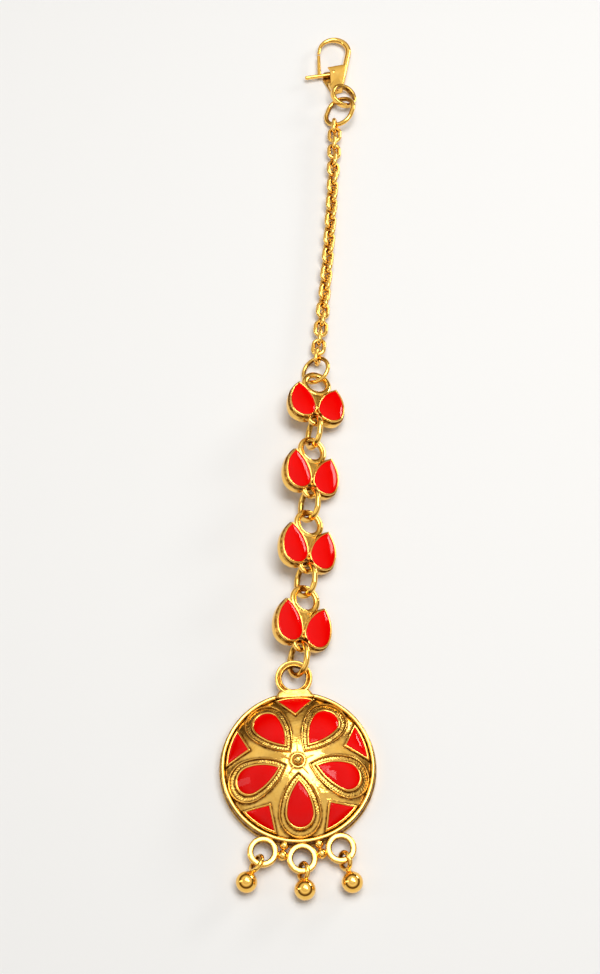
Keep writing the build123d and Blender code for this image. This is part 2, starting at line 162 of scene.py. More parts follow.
def roundRing(mean, wire, steps, around):
    return ovalRing(2 * mean + wire, 2 * mean + wire, wire, steps, around)


# flat ring with softened corners; a groove is a bell curve sunk into its top, a little inside its mean line,
# and painted with shade
def bandRing(ring):
    steps, groove = ring["steps"], ring.get("groove", 0.0)
    a = np.arange(steps) / steps * fullTurn
    out = np.stack([np.cos(a), np.sin(a), 0 * a], -1)
    section = softSection(ring["band"], ring["thick"], ring["power"], ring["around"])
    bell = np.exp(-((section[:, 0] + 0.05 * ring["band"]) / (0.15 * ring["band"])) ** 2) * (section[:, 1] > 0)
    section[:, 1] -= groove * bell
    # painted shade in the groove and on the side facing the hole
    hollow = np.maximum(bell * (groove > 0), ring.get("inner", 1.0) * innerSide(section))
    return carried(out * ring["mean"], out, section, hollow=hollow)


# profile of (distance, height) pairs turned about Z; its first and last pairs lie on the axis
def turnedShell(profile, steps, shade=None):
    profile = np.array(profile, float)
    a = np.arange(steps) / steps * fullTurn
    r, z = profile[1:-1, 0][:, None], profile[1:-1, 1][:, None]
    grid = np.stack([r * np.cos(a), r * np.sin(a), z + 0 * a], -1)
    return gridShell(grid, (0, 0, profile[0, 1]), (0, 0, profile[-1, 1]), shade(grid) if shade else 0.0)


# ball: a half circle turned about Z
def roundBall(radius, steps):
    a = np.linspace(-pi / 2, pi / 2, steps // 2 + 1)
    return turnedShell(np.stack([radius * np.cos(a), radius * np.sin(a)], -1), steps)


# drop outline: round foot about the origin, two side arcs that meet in a tip on +Y; growing it adds to the
# radius of every arc; t runs from the tip round to the tip, paced for a middling growth
def dropOutline(shape, grow, t):
    r, big, reach = shape["radius"], shape["side"], shape["reach"]
    spread = big - r
    leaveY = (2 * big * r - r * r - reach * reach) / (2 * reach * spread)
    leaveX = sqrt(1 - leaveY * leaveY)
    cx, cy = -spread * leaveX, -spread * leaveY
    start = atan2(leaveY, leaveX)
    end = np.arctan2(np.sqrt((big + grow) ** 2 - cx * cx), -cx)
    middling = 0.8
    wide = big + middling
    sideLength = wide * (atan2(sqrt(wide ** 2 - cx * cx), -cx) - start)
    footLength = (r + middling) * (pi + 2 * start)
    share = sideLength / (2 * sideLength + footLength)
    near = np.minimum(t, 1 - t) / share
    sideAngle = end + (start - end) * np.clip(near, 0, 1)
    footAngle = (pi - start) + (pi + 2 * start) * np.clip((t - share) / (1 - 2 * share), 0, 1)
    mirror = np.where(t < 0.5, -1.0, 1.0)
    onSide = near < 1
    x = np.where(onSide, mirror * (cx + (big + grow) * np.cos(sideAngle)), (r + grow) * np.cos(footAngle))
    y = np.where(onSide, cy + (big + grow) * np.sin(sideAngle), (r + grow) * np.sin(footAngle))
    return x, y


# rows of (grow, share, height, painted shade) over an outline: each row is the outline grown, drawn in to its
# share round the centre, and lifted over the ground; the first and last rows are the poles
def stackedShell(outline, rows, centre, ground, columns, relief=None):
    rows = np.array([tuple(row) + (0.0,) * (4 - len(row)) for row in rows])
    t = np.arange(columns)[None] / columns
    grow, share, height = (rows[1:-1, k][:, None] for k in range(3))
    x, y = outline(grow, t)
    x = centre[0] + share * (x - centre[0])
    y = centre[1] + share * (y - centre[1])
    z = ground(x, y) + height + (relief(grow, t) if relief else 0)
    middle = float(ground(np.array(centre[0]), np.array(centre[1])))
    poles = [(centre[0], centre[1], middle + rows[k, 2]) for k in (0, -1)]
    return gridShell(np.stack([x, y, z], -1), *poles, rows[1:-1, 3][:, None])


# an object round its data, linked to the scene
def placed(name, data, place=(0, 0, 0), turn=(0, 0, 0)):
    thing = bpy.data.objects.new(name, data)
    thing.location, thing.rotation_euler = place, turn
    bpy.context.scene.collection.objects.link(thing)
    return thing


# one mesh from many shells, smooth but for its sharp edges, that takes over the look of one node and is
# named by the node's words run together
def makePiece(node, shells, material, body="jewel"):
    words = node.title().replace("_", "")
    name = words[0].lower() + words[1:]
    start = 0
    loops, totals = [], []
    for points, quads, tris, hollow in shells:
        loops += [(quads + start).ravel(), (tris + start).ravel()]
        totals += [np.full(len(quads), 4), np.full(len(tris), 3)]
        start += len(points)
    points = np.vstack([shell[0] for shell in shells]) * mm
    loops, totals = np.hstack(loops), np.hstack(totals)
    starts = np.hstack([[0], np.cumsum(totals)[:-1]])
    mesh = bpy.data.meshes.new(name)
    mesh.vertices.add(len(points))
    mesh.vertices.foreach_set("co", points.astype(np.float32).ravel())
    mesh.loops.add(len(loops))
    mesh.loops.foreach_set("vertex_index", loops.astype(np.int32))
    mesh.polygons.add(len(totals))
    mesh.polygons.foreach_set("loop_start", starts.astype(np.int32))
    mesh.polygons.foreach_set("loop_total", totals.astype(np.int32))
    mesh.polygons.foreach_set("use_smooth", np.ones(len(totals), bool))
    # each point's painted shade goes into a mesh attribute, which darkens the gold there
    shade = mesh.attributes.new("hollow", "FLOAT", "POINT")
    shade.data.foreach_set("value", np.hstack([shell[3] for shell in shells]).astype(np.float32))
    mesh.update(calc_edges=True)
    mesh.validate()
    mesh.set_sharp_from_angle(angle=radians(sharpEdge))
    mesh.materials.append(material)
    piece = placed(name, mesh)
    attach(piece, body)
    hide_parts(node)


# a shader socket with arithmetic, so that 1 - mask or noise * 0.3 adds the Math nodes
class Wired:
    def __init__(self, tree, socket):
        self.tree, self.socket = tree, socket

    def math(self, operation, other, reflected=False):
        first, second = (other, self) if reflected else (self, other)
        return shaderNode(self.tree, "Math", {"operation": operation}, {0: first, 1: second})

    def __add__(self, other):
        return self.math("ADD", other)

    def __radd__(self, other):
        return self.math("ADD", other, True)

    def __sub__(self, other):
        return self.math("SUBTRACT", other)

    def __rsub__(self, other):
        return self.math("SUBTRACT", other, True)

    def __mul__(self, other):
        return self.math("MULTIPLY", other)

    def __rmul__(self, other):
        return self.math("MULTIPLY", other, True)


# any node: its settings first, then a value or a link for each of its sockets; gives the wanted output
def shaderNode(tree, kind, settings=None, inputs=None, output=0):
    node = tree.nodes.new("ShaderNode" + kind)
    for key, value in (settings or {}).items():
        if key == "stops":
            ramp = node.color_ramp
            while len(ramp.elements) < len(value):
                ramp.elements.new(0.5)
            for element, (place, colour) in zip(ramp.elements, value):
                element.position, element.color = place, colour
        else:
            setattr(node, key, value)
    for key, value in (inputs or {}).items():
        if isinstance(value, Wired):
            tree.links.new(value.socket, node.inputs[key])
        else:
            node.inputs[key].default_value = value
    return Wired(tree, node.outputs[output]) if node.outputs else None


def noiseOver(tree, place, scale, detail):
    return shaderNode(tree, "TexNoise", None, {"Vector": place, "Scale": scale, "Detail": detail})


def mixedColour(tree, factor, first, second):
    return shaderNode(tree, "Mix", {"data_type": "RGBA"}, {0: factor, 6: first, 7: second}, 2)


def freshMaterial(name):
    material = bpy.data.materials.new(name)
    material.use_nodes = True
    material.node_tree.nodes.clear()
    return material, material.node_tree


def finishMaterial(tree, inputs):
    shader = shaderNode(tree, "BsdfPrincipled", None, inputs)
    shaderNode(tree, "OutputMaterial", None, {"Surface": shader})


# gold tones; the dark brown and its depths are painted shade for recesses and creases
goldLook = {
    "bright": (1.0, 0.67, 0.19, 1), "deep": (0.95, 0.51, 0.075, 1), "shadeColour": (0.16, 0.055, 0.005, 1),
    "roughness": 0.02, "fineRoughness": 0.08, "hollowRoughness": 0.25,
    "broadScale": 560.0, "fineScale": 1700.0, "grainScale": 5200.0, "mottleScale": 1300.0,
    "mottleFrom": 0.42, "mottleContrast": 4.0, "dirt": 0.72, "patchyShade": 0.6,
    "fineSwell": 0.25, "grainSwell": 0.9, "bumpDistance": 0.00014, "castWaviness": 0.45, "wireWaviness": 0.05,
}


# plated gold: colour drifts between two yellows by broad noise, and falls to a brown painted shade by
# the shade mask times (a depth plus a patchy depth times patches), patches being stretched mottle noise;
# roughness is a base plus fine noise plus the shade mask; the surface swells by broad plus fine noise, and by
# a finer grain in the hollows
def goldMaterial(name, look, waviness):
    material, tree = freshMaterial(name)
    place = shaderNode(tree, "TexCoord", output="Object")
    hollow = shaderNode(tree, "Attribute", {"attribute_name": "hollow"}, output="Fac")
    broad = noiseOver(tree, place, look["broadScale"], 2.0)
    fine = noiseOver(tree, place, look["fineScale"], 3.0)
    grain = noiseOver(tree, place, look["grainScale"], 1.0)
    mottle = noiseOver(tree, place, look["mottleScale"], 2.0)
    patches = (mottle - look["mottleFrom"]) * look["mottleContrast"]
    patches = patches.math("MAXIMUM", 0.0).math("MINIMUM", 1.0)
    # painted shade: the mask darkens the gold towards the brown, made patchy by mottle noise
    dirt = (hollow * (look["dirt"] + patches * look["patchyShade"])).math("MINIMUM", 1.0)
    clean = mixedColour(tree, broad, look["deep"], look["bright"])
    swell = broad + fine * look["fineSwell"] + grain * hollow * look["grainSwell"]
    finishMaterial(tree, {
        "Base Color": mixedColour(tree, dirt, clean, look["shadeColour"]),
        "Metallic": 1.0,
        "Roughness": look["roughness"] + fine * look["fineRoughness"] + hollow * look["hollowRoughness"],
        "Normal": shaderNode(tree, "Bump", None, {
            "Strength": waviness, "Distance": look["bumpDistance"], "Height": swell}),
    })
    return material


enamelLook = {
    "colour": (0.86, 0.0, 0.0, 1), "darker": (0.74, 0.0, 0.0, 1), "specular": 0.16,
    "roughness": 0.04, "waveRoughness": 0.05,
    "waveScale": 350.0, "bumpStrength": 0.35, "bumpDistance": 0.00006,
}


# opaque red enamel: its colour, roughness and orange-peel swell all follow one broad noise
def enamelMaterial(name, look):
    material, tree = freshMaterial(name)
    place = shaderNode(tree, "TexCoord", output="Object")
    wave = noiseOver(tree, place, look["waveScale"], 1.0)
    finishMaterial(tree, {
        "Base Color": mixedColour(tree, wave, look["darker"], look["colour"]),
        "Roughness": look["roughness"] + wave * look["waveRoughness"],
        "Specular IOR Level": look["specular"],
        "Normal": shaderNode(tree, "Bump", None, {
            "Strength": look["bumpStrength"], "Distance": look["bumpDistance"], "Height": wave}),
    })
    return material


castGold = goldMaterial("castGold", goldLook, goldLook["castWaviness"])
wireGold = goldMaterial("wireGold", goldLook, goldLook["wireWaviness"])
redEnamel = enamelMaterial("redEnamel", enamelLook)
print("stage: materials")


disc = {
    "turn": 2.7, "petals": 5, "edge": 15.0, "lowerHeight": 1.25, "edgeHeight": 2.5, "columns": 300,
    # roundings of the edge as (inset, height), at its foot and at the step
    "footRound": [(0.25, 0.0), (0.1, 0.05), (0.0, 0.2)],
    "stepRound": [(0.0, -0.2), (0.06, -0.06), (0.2, 0.0), (0.24, 0.06)], "stepRise": 0.2,
    "rimWire": 0.42, "rimCircle": 14.32, "domeRadius": 13.95, "domeFoot": 2.45, "domeTop": 6.6,
    "spandrel": 0.16, "domeRows": 88,
    "petal": {"radius": 2.42, "reach": 5.6, "side": 9.5}, "petalCentre": 9.6, "petalFillCentre": 9.3,
    "petalFrameShift": 0.25, "shiftFrom": 0.4, "shiftRun": 0.8, "petalGap": 0.06,
    "cellOuter": 13.25, "cellInner": 9.85, "cellHalfAngle": 13.8, "cellCentre": 12.0, "cellSide": 0.35,
    "cellColumns": 120, "petalFillColumns": 160,
    "topLoop": {"place": 17.5, "height": 2.62, "mean": 2.98, "band": 1.32, "thick": 1.5, "power": 0.5,
                "groove": 0.4, "steps": 96, "around": 48},
    # the loop base is painted with a half-deep shade all over
    "loopBase": {"place": 14.35, "half": 0.95, "width": 8.8, "narrowing": 3.2, "thickShare": 0.9,
                 "hollow": 0.5},
    "eye": {"place": 17.5, "height": 2.0, "spread": 24.6, "mean": 2.33, "band": 1.2, "thick": 1.45,
            "power": 0.55, "steps": 80, "around": 20},
    "eyeBeads": [{"place": 17.1, "radius": 1.0}, {"place": 15.2, "radius": 0.9}],
}
domeRise = disc["domeTop"] - disc["domeFoot"]
domeSphere = (disc["domeRadius"] ** 2 + domeRise ** 2) / (2 * domeRise)
petalStep = 360 / disc["petals"]


# petals stand at whole places, starting from the bottom, and cells at the halves between them
def bearingOf(place):
    return -90 + place * petalStep


# height of the dome: a sphere cap about a centre on the axis
def domeHeight(x, y):
    return disc["domeTop"] - domeSphere + np.sqrt(domeSphere ** 2 - x * x - y * y)


# a petal's outline: a drop with its tip towards the boss, the frame slid outwards as it grows, and its
# bearing kept inside its own fifth of the dome
def petalOutline(place, grow, t):
    x, y = dropOutline(disc["petal"], grow, t)
    slide = disc["petalFrameShift"] * np.clip((grow - disc["shiftFrom"]) / disc["shiftRun"], 0, 1)
    px, py = disc["petalCentre"] + slide - y, x
    radius = np.hypot(px, py)
    limit = radians(petalStep / 2) - disc["petalGap"] / np.maximum(radius, 0.5)
    angle = np.clip(np.arctan2(py, px), -limit, limit) + radians(bearingOf(place))
    return radius * np.cos(angle), radius * np.sin(angle)


# a cell's outline: outer arc and two straight sides that meet in a point, each moved out by grow
def cellOutline(place, grow, t):
    outer, inner, out = disc["cellOuter"], disc["cellInner"], disc["cellSide"]
    cornerX, cornerY = onBearing(outer, disc["cellHalfAngle"])
    lean = atan2(cornerY, cornerX - inner)
    apex = inner - grow / sin(lean)
    big = outer + grow
    # where the moved side meets the moved arc: apex + s (cos, sin) at distance big from the middle
    s = -apex * cos(lean) + np.sqrt((apex * cos(lean)) ** 2 - apex ** 2 + big ** 2)
    farX, farY = apex + s * cos(lean), s * sin(lean)
    # t runs out along one side, round the arc and back along the other side
    first = np.clip(t / out, 0, 1)
    along = np.clip((t - out) / (1 - 2 * out), 0, 1)
    back = np.clip((t - (1 - out)) / out, 0, 1)
    arcAngle = np.arctan2(farY, farX) * (1 - 2 * along)
    onArc = t < 1 - out
    x = np.where(t < out, apex + first * (farX - apex),
                 np.where(onArc, big * np.cos(arcAngle), farX + back * (apex - farX)))
    y = np.where(t < out, first * farY, np.where(onArc, big * np.sin(arcAngle), -farY + back * farY))
    c, s = onBearing(1, bearingOf(place))
    return x * c - y * s, x * s + y * c


# petal relief as (grow, share, height, painted shade): thin outer ridge, wide channel, thin inner ridge;
# shade is painted at the feet of the ridges, lighter mid-channel
petalRows = [
    (1.5, 0, -0.9), (1.64, 1, -0.5, 1.0), (1.63, 1, -0.16, 1.0), (1.62, 1, 0.05, 0.8), (1.59, 1, 0.24, 0.1),
    (1.53, 1, 0.37), (1.46, 1, 0.41), (1.39, 1, 0.38), (1.32, 1, 0.26, 0.3), (1.27, 1, 0.08, 0.9),
    (1.22, 1, -0.05, 1.0), (1.14, 1, -0.09, 0.8), (1.05, 1, -0.09, 0.35), (0.95, 1, -0.08, 0.15),
    (0.83, 1, -0.08, 0.15), (0.72, 1, -0.09, 0.35), (0.62, 1, -0.09, 0.8), (0.5, 1, -0.05, 1.0),
    (0.45, 1, 0.08, 0.9), (0.41, 1, 0.26, 0.3), (0.34, 1, 0.39), (0.25, 1, 0.44), (0.14, 1, 0.42),
    (0.05, 1, 0.36), (0.0, 1, 0.26), (-0.01, 1, -0.3), (0, 0, -0.5),
]
# cell relief: one ridge round the enamel, with painted shade at its outer foot
cellRows = [
    (0.3, 0, -0.8), (0.46, 1, -0.45, 1.0), (0.455, 1, -0.12, 1.0), (0.44, 1, 0.08, 0.8), (0.4, 1, 0.26, 0.1),
    (0.31, 1, 0.38), (0.21, 1, 0.43), (0.11, 1, 0.41), (0.04, 1, 0.34), (0.0, 1, 0.24), (-0.01, 1, -0.3),
    (0, 0, -0.5),
]
# enamel: straight wall, rounded shoulder, low crown
fillRows = [
    (-0.03, 0, -0.46), (-0.03, 1, -0.44), (-0.03, 1, 0.24), (-0.05, 1, 0.28), (-0.09, 0.995, 0.3),
    (-0.09, 0.94, 0.33), (-0.09, 0.84, 0.37), (-0.09, 0.68, 0.41), (-0.09, 0.5, 0.44), (-0.09, 0.3, 0.46),
    (-0.09, 0.12, 0.47), (0, 0, 0.47),
]
grains = {
    "count": 52, "height": 0.09, "unevenness": 0.25, "swells": 11, "rowHalf": 0.2,
    "rows": [{"middle": 0.7, "phase": 0.0}, {"middle": 1.0, "phase": 0.5}],
    "drifts": [{"swing": 1.1, "waves": 7, "start": 1}, {"swing": 0.8, "waves": 17, "start": 0}],
}


# grains in the channel: two rows of raised cosines half a grain apart, their phase and height drifting
def channelGrains(grow, t):
    drift = sum(row["swing"] * np.sin(fullTurn * row["waves"] * t + row["start"]) for row in grains["drifts"])
    uneven = grains["unevenness"]
    height = grains["height"] * (1 - uneven + uneven * np.sin(fullTurn * grains["swells"] * t + 2 * grow))
    total = 0
    for row in grains["rows"]:
        across = np.clip(1 - ((grow - row["middle"]) / grains["rowHalf"]) ** 2, 0, 1)
        total = total + across * (0.5 + 0.5 * np.cos(fullTurn * (grains["count"] * t + row["phase"]) + drift))
    return height * total


boss = {
    "ball": 0.95, "lift": 0.4, "collar": 1.55, "washer": 1.2,
    # the collar's section as (inset from its outside, height over the dome's top)
    "collarRows": [(0.0, -0.4), (0.0, 0.1), (0.08, 0.2), (0.25, 0.26), (0.42, 0.2), (0.5, 0.05)],
    "washerEdge": 0.6, "washerHeight": 0.02,
    "rayLength": 3.3, "rayStart": 0.46, "rayWidth": 0.42, "rayHeight": 0.3, "raySink": 0.05,
}
# depths and reaches of the painted shade on the dome's open ground
tones = {
    "even": 0.04, "frameReach": 0.26, "collarGap": 0.08, "collarReach": 0.14, "rimGap": 0.46, "rimReach": 0.2,
    "fadeFrom": 2.5, "fadeRun": 3.0, "fadeLeast": 0.15, "domeFrom": 2.15, "rimFrom": 0.9,
    "outlinePoints": 240,
}


# distance from each point to the nearest of an outline's points, the outline turned by angle first
def distanceTo(outline, angle, x, y):
    c, s = cos(angle), sin(angle)
    outlineX, outlineY = outline[0] * c - outline[1] * s, outline[0] * s + outline[1] * c
    return np.hypot(x[..., None] - outlineX, y[..., None] - outlineY).min(-1)


# painted shade along a crease: a bell curve of the distance from it
def crease(distance, reach):
    return np.exp(-(distance / reach) ** 2)


# painted shade on the dome's open ground: an even tone, and creases along the petal and cell frames, the
# boss's collar and both sides of the rim wire; the pattern is folded into one petal's half, lying on +X
def groundShade(grid):
    x, y, z = grid[..., 0], grid[..., 1], grid[..., 2]
    radius, bearing = np.hypot(x, y), np.arctan2(y, x)
    step = radians(petalStep)
    half = step / 2
    fold = (bearing + pi / 2 + half) % step - half
    petalX, petalY = radius * np.cos(fold), radius * np.abs(np.sin(fold))
    cellX = petalX * cos(half) + petalY * sin(half)
    cellY = petalX * sin(half) - petalY * cos(half)
    t = np.arange(tones["outlinePoints"]) / tones["outlinePoints"]
    toPetal = distanceTo(petalOutline(0, petalRows[2][0], t), pi / 2, petalX, petalY)
    toCell = distanceTo(cellOutline(0.5, cellRows[1][0], t), pi / 2 - half, cellX, cellY)
    fade = np.clip((radius - tones["fadeFrom"]) / tones["fadeRun"], tones["fadeLeast"], 1)
    ground = tones["even"] + fade * crease(np.minimum(toPetal, toCell), tones["frameReach"])
    ground += crease(radius - boss["collar"] - tones["collarGap"], tones["collarReach"])
    onDome = (z > tones["domeFrom"]) & (radius < disc["domeRadius"])
    tone = np.where(onDome, np.clip(ground, 0, 1), 0)
    for side in (-1, 1):
        besideRim = radius - disc["rimCircle"] - side * tones["rimGap"]
        tone += crease(besideRim, tones["rimReach"]) * (z > tones["rimFrom"])
    return tone


# rows stacked over an outline of the dome, round a centre at the given distance from the middle
def setInDome(outline, place, rows, distance, columns, relief=None):
    centre = onBearing(distance, bearingOf(place))
    return stackedShell(lambda grow, t: outline(place, grow, t), rows, centre, domeHeight, columns, relief)


# cast disc: stepped edge, rim wire and dome turned as one profile, then the frames, boss and loops set in
def pendantShells():
    edge, rimWire, rimCircle = disc["edge"], disc["rimWire"], disc["rimCircle"]
    low, high = disc["lowerHeight"], disc["edgeHeight"]
    foot = [(0, 0)] + [(edge - inset, height) for inset, height in disc["footRound"]]
    foot += [(edge - inset, low + height) for inset, height in disc["stepRound"]]
    foot.append((rimCircle + rimWire, low + disc["stepRise"]))
    rimAngles = np.linspace(0, pi, 13)
    rim = np.stack([rimCircle + rimWire * np.cos(rimAngles), high + rimWire * np.sin(rimAngles)], -1)
    out = np.linspace(rimCircle - rimWire, 0, disc["domeRows"])
    dome = np.stack([out, domeHeight(out, 0 * out) - disc["spandrel"]], -1)
    shells = [turnedShell(np.vstack([foot, rim, dome]), disc["columns"], groundShade)]
    for index in range(disc["petals"]):
        shells.append(setInDome(petalOutline, index, petalRows, disc["petalCentre"], disc["columns"],
                                channelGrains))
        shells.append(setInDome(cellOutline, index + 0.5, cellRows, disc["cellCentre"],
                                disc["cellColumns"]))
    return shells + bossShells() + loopShells()


# the washer inside the collar is all painted shade, a dark ring round the ball
def washerShade(grid):
    return 1.0 * (np.hypot(grid[..., 0], grid[..., 1]) < boss["washer"])


# ball in a round collar, and a ray between each two petals: a half-round ridge whose size falls as the root
# of 1 - u cubed
def bossShells():
    top = disc["domeTop"]
    collar = [(boss["collar"] - inset, top + height) for inset, height in boss["collarRows"]]
    washer = [(boss["washerEdge"], top + boss["washerHeight"]), (0, top + boss["washerHeight"])]
    shells = [turnedShell([(0, top - 0.5)] + collar + washer, 64, washerShade)]
    shells.append(moved(roundBall(boss["ball"], 40), place=(0, 0, top + boss["lift"])))
    u = np.linspace(boss["rayStart"], 1, 24)
    section = softSection(1, 1, 0.8, 14)[None] * np.sqrt(np.clip(1 - u ** 3, 0.003, 1))[:, None, None]
    section = section * np.array([boss["rayWidth"], 2 * boss["rayHeight"]])
    for index in range(disc["petals"]):
        out = np.array(onBearing(1, bearingOf(index + 0.5)) + (0,))
        side = np.array([-out[1], out[0], 0])
        path = out[None] * (boss["rayLength"] * u)[:, None]
        path[:, 2] = domeHeight(path[:, 0], path[:, 1]) - boss["raySink"]
        shells.append(carried(path, side, section, False))
    return shells


# top loop on its flared base, three eyes and the beads between them; the base narrows towards the loop by a
# power of the way along
def loopShells():
    loop, base, eye = disc["topLoop"], disc["loopBase"], disc["eye"]
    shells = [moved(bandRing(loop), place=(0, loop["place"], loop["height"]))]
    u = np.linspace(-1, 1, 18)
    path = np.stack([0 * u, base["place"] + base["half"] * u, loop["height"] + 0 * u], -1)
    width = base["width"] - base["narrowing"] * ((u + 1) / 2) ** 0.7
    thick = np.full(len(u), base["thickShare"] * loop["thick"])
    section = softSection(1, 1, 0.4, 28)[None] * (np.clip(1 - u ** 8, 0.02, 1) ** 0.3)[:, None, None]
    section = section * np.stack([width, thick], -1)[:, None]
    shells.append(carried(path, (1.0, 0, 0), section, False, base["hollow"]))
    for step in (-1, 0, 1):
        x, y = onBearing(eye["place"], -90 + step * eye["spread"])
        shells.append(moved(bandRing(eye), place=(x, y, eye["height"])))
    for step in (-0.5, 0.5):
        for bead in disc["eyeBeads"]:
            x, y = onBearing(bead["place"], -90 + step * eye["spread"])
            shells.append(moved(roundBall(bead["radius"], 28), place=(x, y, eye["height"])))
    return shells


pendantTurn = turnZ(disc["turn"])
discShells = [moved(shell, pendantTurn) for shell in pendantShells()]
makePiece("pendant_disc", discShells, castGold)
for number in range(1, disc["petals"] + 1):
    fill = setInDome(petalOutline, number - 1, fillRows, disc["petalFillCentre"],
                     disc["petalFillColumns"])
    makePiece(f"petal_enamel_{number}", [moved(fill, pendantTurn)], redEnamel)
    fill = setInDome(cellOutline, number - 0.5, fillRows, disc["cellCentre"], disc["cellColumns"])
    makePiece(f"corner_enamel_{number}", [moved(fill, pendantTurn)], redEnamel)
print("stage: pendant")


drops = {
    "ball": 2.0, "wire": 0.9, "ringMean": 1.56, "ringPlace": 2.42, "roll": -60.0, "ballShare": 0.93,
    # the waist as (radius, height over the ball), then its stem's radius
    "waist": [(0.62, -0.02), (0.55, 0.12)], "stem": 0.5,
    "rows": [{"eye": -1, "bearing": -118.0, "reach": 6.3}, {"eye": 0, "bearing": -85.0, "reach": 5.7},
             {"eye": 1, "bearing": -72.0, "reach": 6.6}],
}


# ball with a short waist that runs up into its wire loop; its arc stops where its sine is ballShare
def dropShells(reach):
    ball, stemEnd = drops["ball"], reach - drops["ringPlace"] - drops["ringMean"]
    a = np.linspace(-pi / 2, asin(drops["ballShare"]), 26)
    profile = np.stack([ball * np.cos(a), ball * np.sin(a)], -1)
    waist = [(radius, ball + height) for radius, height in drops["waist"]]
    waist += [(drops["stem"], stemEnd + 0.1), (0, stemEnd + 0.3)]
    bulb = turnedShell(np.vstack([profile, waist]), 48)
    ring = roundRing(drops["ringMean"], drops["wire"], 48, 14)
    ring = moved(ring, turnY(drops["roll"]), (0, -drops["ringPlace"], 0))
    return [moved(bulb, turnX(-90), (0, -reach, 0)), ring]


eye = disc["eye"]
for number, row in enumerate(drops["rows"], 1):
    x, y = onBearing(eye["place"], -90 + disc["turn"] + row["eye"] * eye["spread"])
    swing = turnZ(row["bearing"] + 90)
    hung = [moved(shell, swing, (x, y, eye["height"])) for shell in dropShells(row["reach"])]
    makePiece(f"drop_{number}", hung, wireGold)
print("stage: drops")


leafLink = {
    "leaf": {"radius": 2.5, "reach": 5.8, "side": 7.0}, "leafX": 2.95, "leafY": -7.1, "lean": 10.5,
    "cupCentre": 0.8, "fillCentre": 1.2, "cupColumns": 180, "fillColumns": 160, "eyeY": -9.3, "eyeHole": 1.05,
    "loop": {"mean": 2.58, "band": 1.26, "thick": 1.1, "power": 0.7, "inner": 0.35, "steps": 80,
             "around": 20},
    "eye": {"mean": 1.45, "band": 0.86, "thick": 1.0, "power": 0.6, "steps": 56, "around": 20},
    "bead": 0.45, "beadY": -7.1, "beadZ": 0.7,
    "neck": [(-1.75, -2.35), (1.75, -2.35), (0.0, -7.2)], "neckCentre": -3.9,
    "rows": [
        {"x": 3.83, "y": 82.75, "z": 2.33, "turn": 1.0, "roll": 18.0, "pitch": 12.5, "ringRoll": -64.0},
        {"x": 2.85, "y": 66.55, "z": 3.35, "turn": 2.5, "roll": 26.0, "pitch": 5.0, "ringRoll": -52.0},
        {"x": 2.15, "y": 50.0, "z": 3.35, "turn": 2.5, "roll": 26.0, "pitch": 5.0, "ringRoll": -52.0},
        {"x": 1.35, "y": 33.5, "z": 3.38, "turn": 4.5, "roll": 26.0, "pitch": 4.5, "ringRoll": -54.0},
    ],
}
# cup wall from the back upwards: lower band, step with painted shade, upper band, rounded rim, wall of the
# pocket
cupRows = [
    (0, 0, -1.1), (0.45, 1, -1.1), (0.57, 1, -1.05), (0.62, 1, -0.93), (0.62, 1, 0.1, 0.1),
    (0.6, 1, 0.22, 0.5), (0.54, 1, 0.29, 1.0), (0.44, 1, 0.3, 1.0), (0.32, 1, 0.3, 1.0),
    (0.24, 1, 0.36, 1.0), (0.24, 1, 0.5, 1.0), (0.32, 1, 0.58, 0.8), (0.37, 1, 0.68, 0.1), (0.36, 1, 0.9),
    (0.33, 1, 1.02), (0.25, 1, 1.095), (0.15, 1, 1.11), (0.06, 1, 1.075), (0.0, 1, 0.99), (-0.01, 1, 0.62),
    (0, 0, 0.6),
]
leafFillRows = [
    (-0.03, 0, 0.63), (-0.03, 1, 0.65), (-0.03, 1, 0.98), (-0.05, 1, 1.03), (-0.1, 0.995, 1.06),
    (-0.1, 0.93, 1.1), (-0.1, 0.82, 1.15), (-0.1, 0.66, 1.2), (-0.1, 0.48, 1.235), (-0.1, 0.28, 1.26),
    (-0.1, 0.1, 1.27), (0, 0, 1.27),
]
# neck: rounded border with a sunk middle, and painted shade where the border falls to the middle
neckRows = [
    (0, 0, -0.75), (-0.15, 1, -0.75), (0, 1, -0.6), (0, 1, 0.35), (-0.06, 1, 0.5), (-0.18, 1, 0.56),
    (-0.28, 1, 0.54, 0.1), (-0.36, 1, 0.42, 0.8), (-0.42, 0.95, 0.4, 0.35), (-0.42, 0.5, 0.4, 0.1),
    (0, 0, 0.42),
]


# leaf outline leaned outward; a cup's is also pushed clear of the hole that the connector ring passes
def leafOutline(side, grow, t, clearOfHole):
    x, y = dropOutline(leafLink["leaf"], grow, t)
    lean = radians(-side * leafLink["lean"])
    px = side * leafLink["leafX"] + x * cos(lean) - y * sin(lean)
    py = leafLink["leafY"] + x * sin(lean) + y * cos(lean)
    if clearOfHole:
        push = np.maximum(1, leafLink["eyeHole"] / np.hypot(px, py - leafLink["eyeY"]))
        px, py = px * push, leafLink["eyeY"] + (py - leafLink["eyeY"]) * push
    return px, py


def flat(x, y):
    return 0 * x


# neck wedge: a triangle walked corner to corner, grown straight away from its centre
def neckOutline(grow, t):
    corner = np.array(leafLink["neck"] + leafLink["neck"][:1])
    k = np.minimum((t * 3).astype(int), 2)
    f = t * 3 - k
    x = corner[k, 0] * (1 - f) + corner[k + 1, 0] * f
    y = corner[k, 1] * (1 - f) + corner[k + 1, 1] * f - leafLink["neckCentre"]
    reach = np.hypot(x, y)
    return x + grow * x / reach, leafLink["neckCentre"] + y + grow * y / reach


# rows stacked over one leaf, round a centre that far above the middle of its foot
def leafShell(side, rows, above, columns, clearOfHole):
    centre = (side * leafLink["leafX"], leafLink["leafY"] + above)
    return stackedShell(lambda grow, t: leafOutline(side, grow, t, clearOfHole), rows, centre, flat, columns)


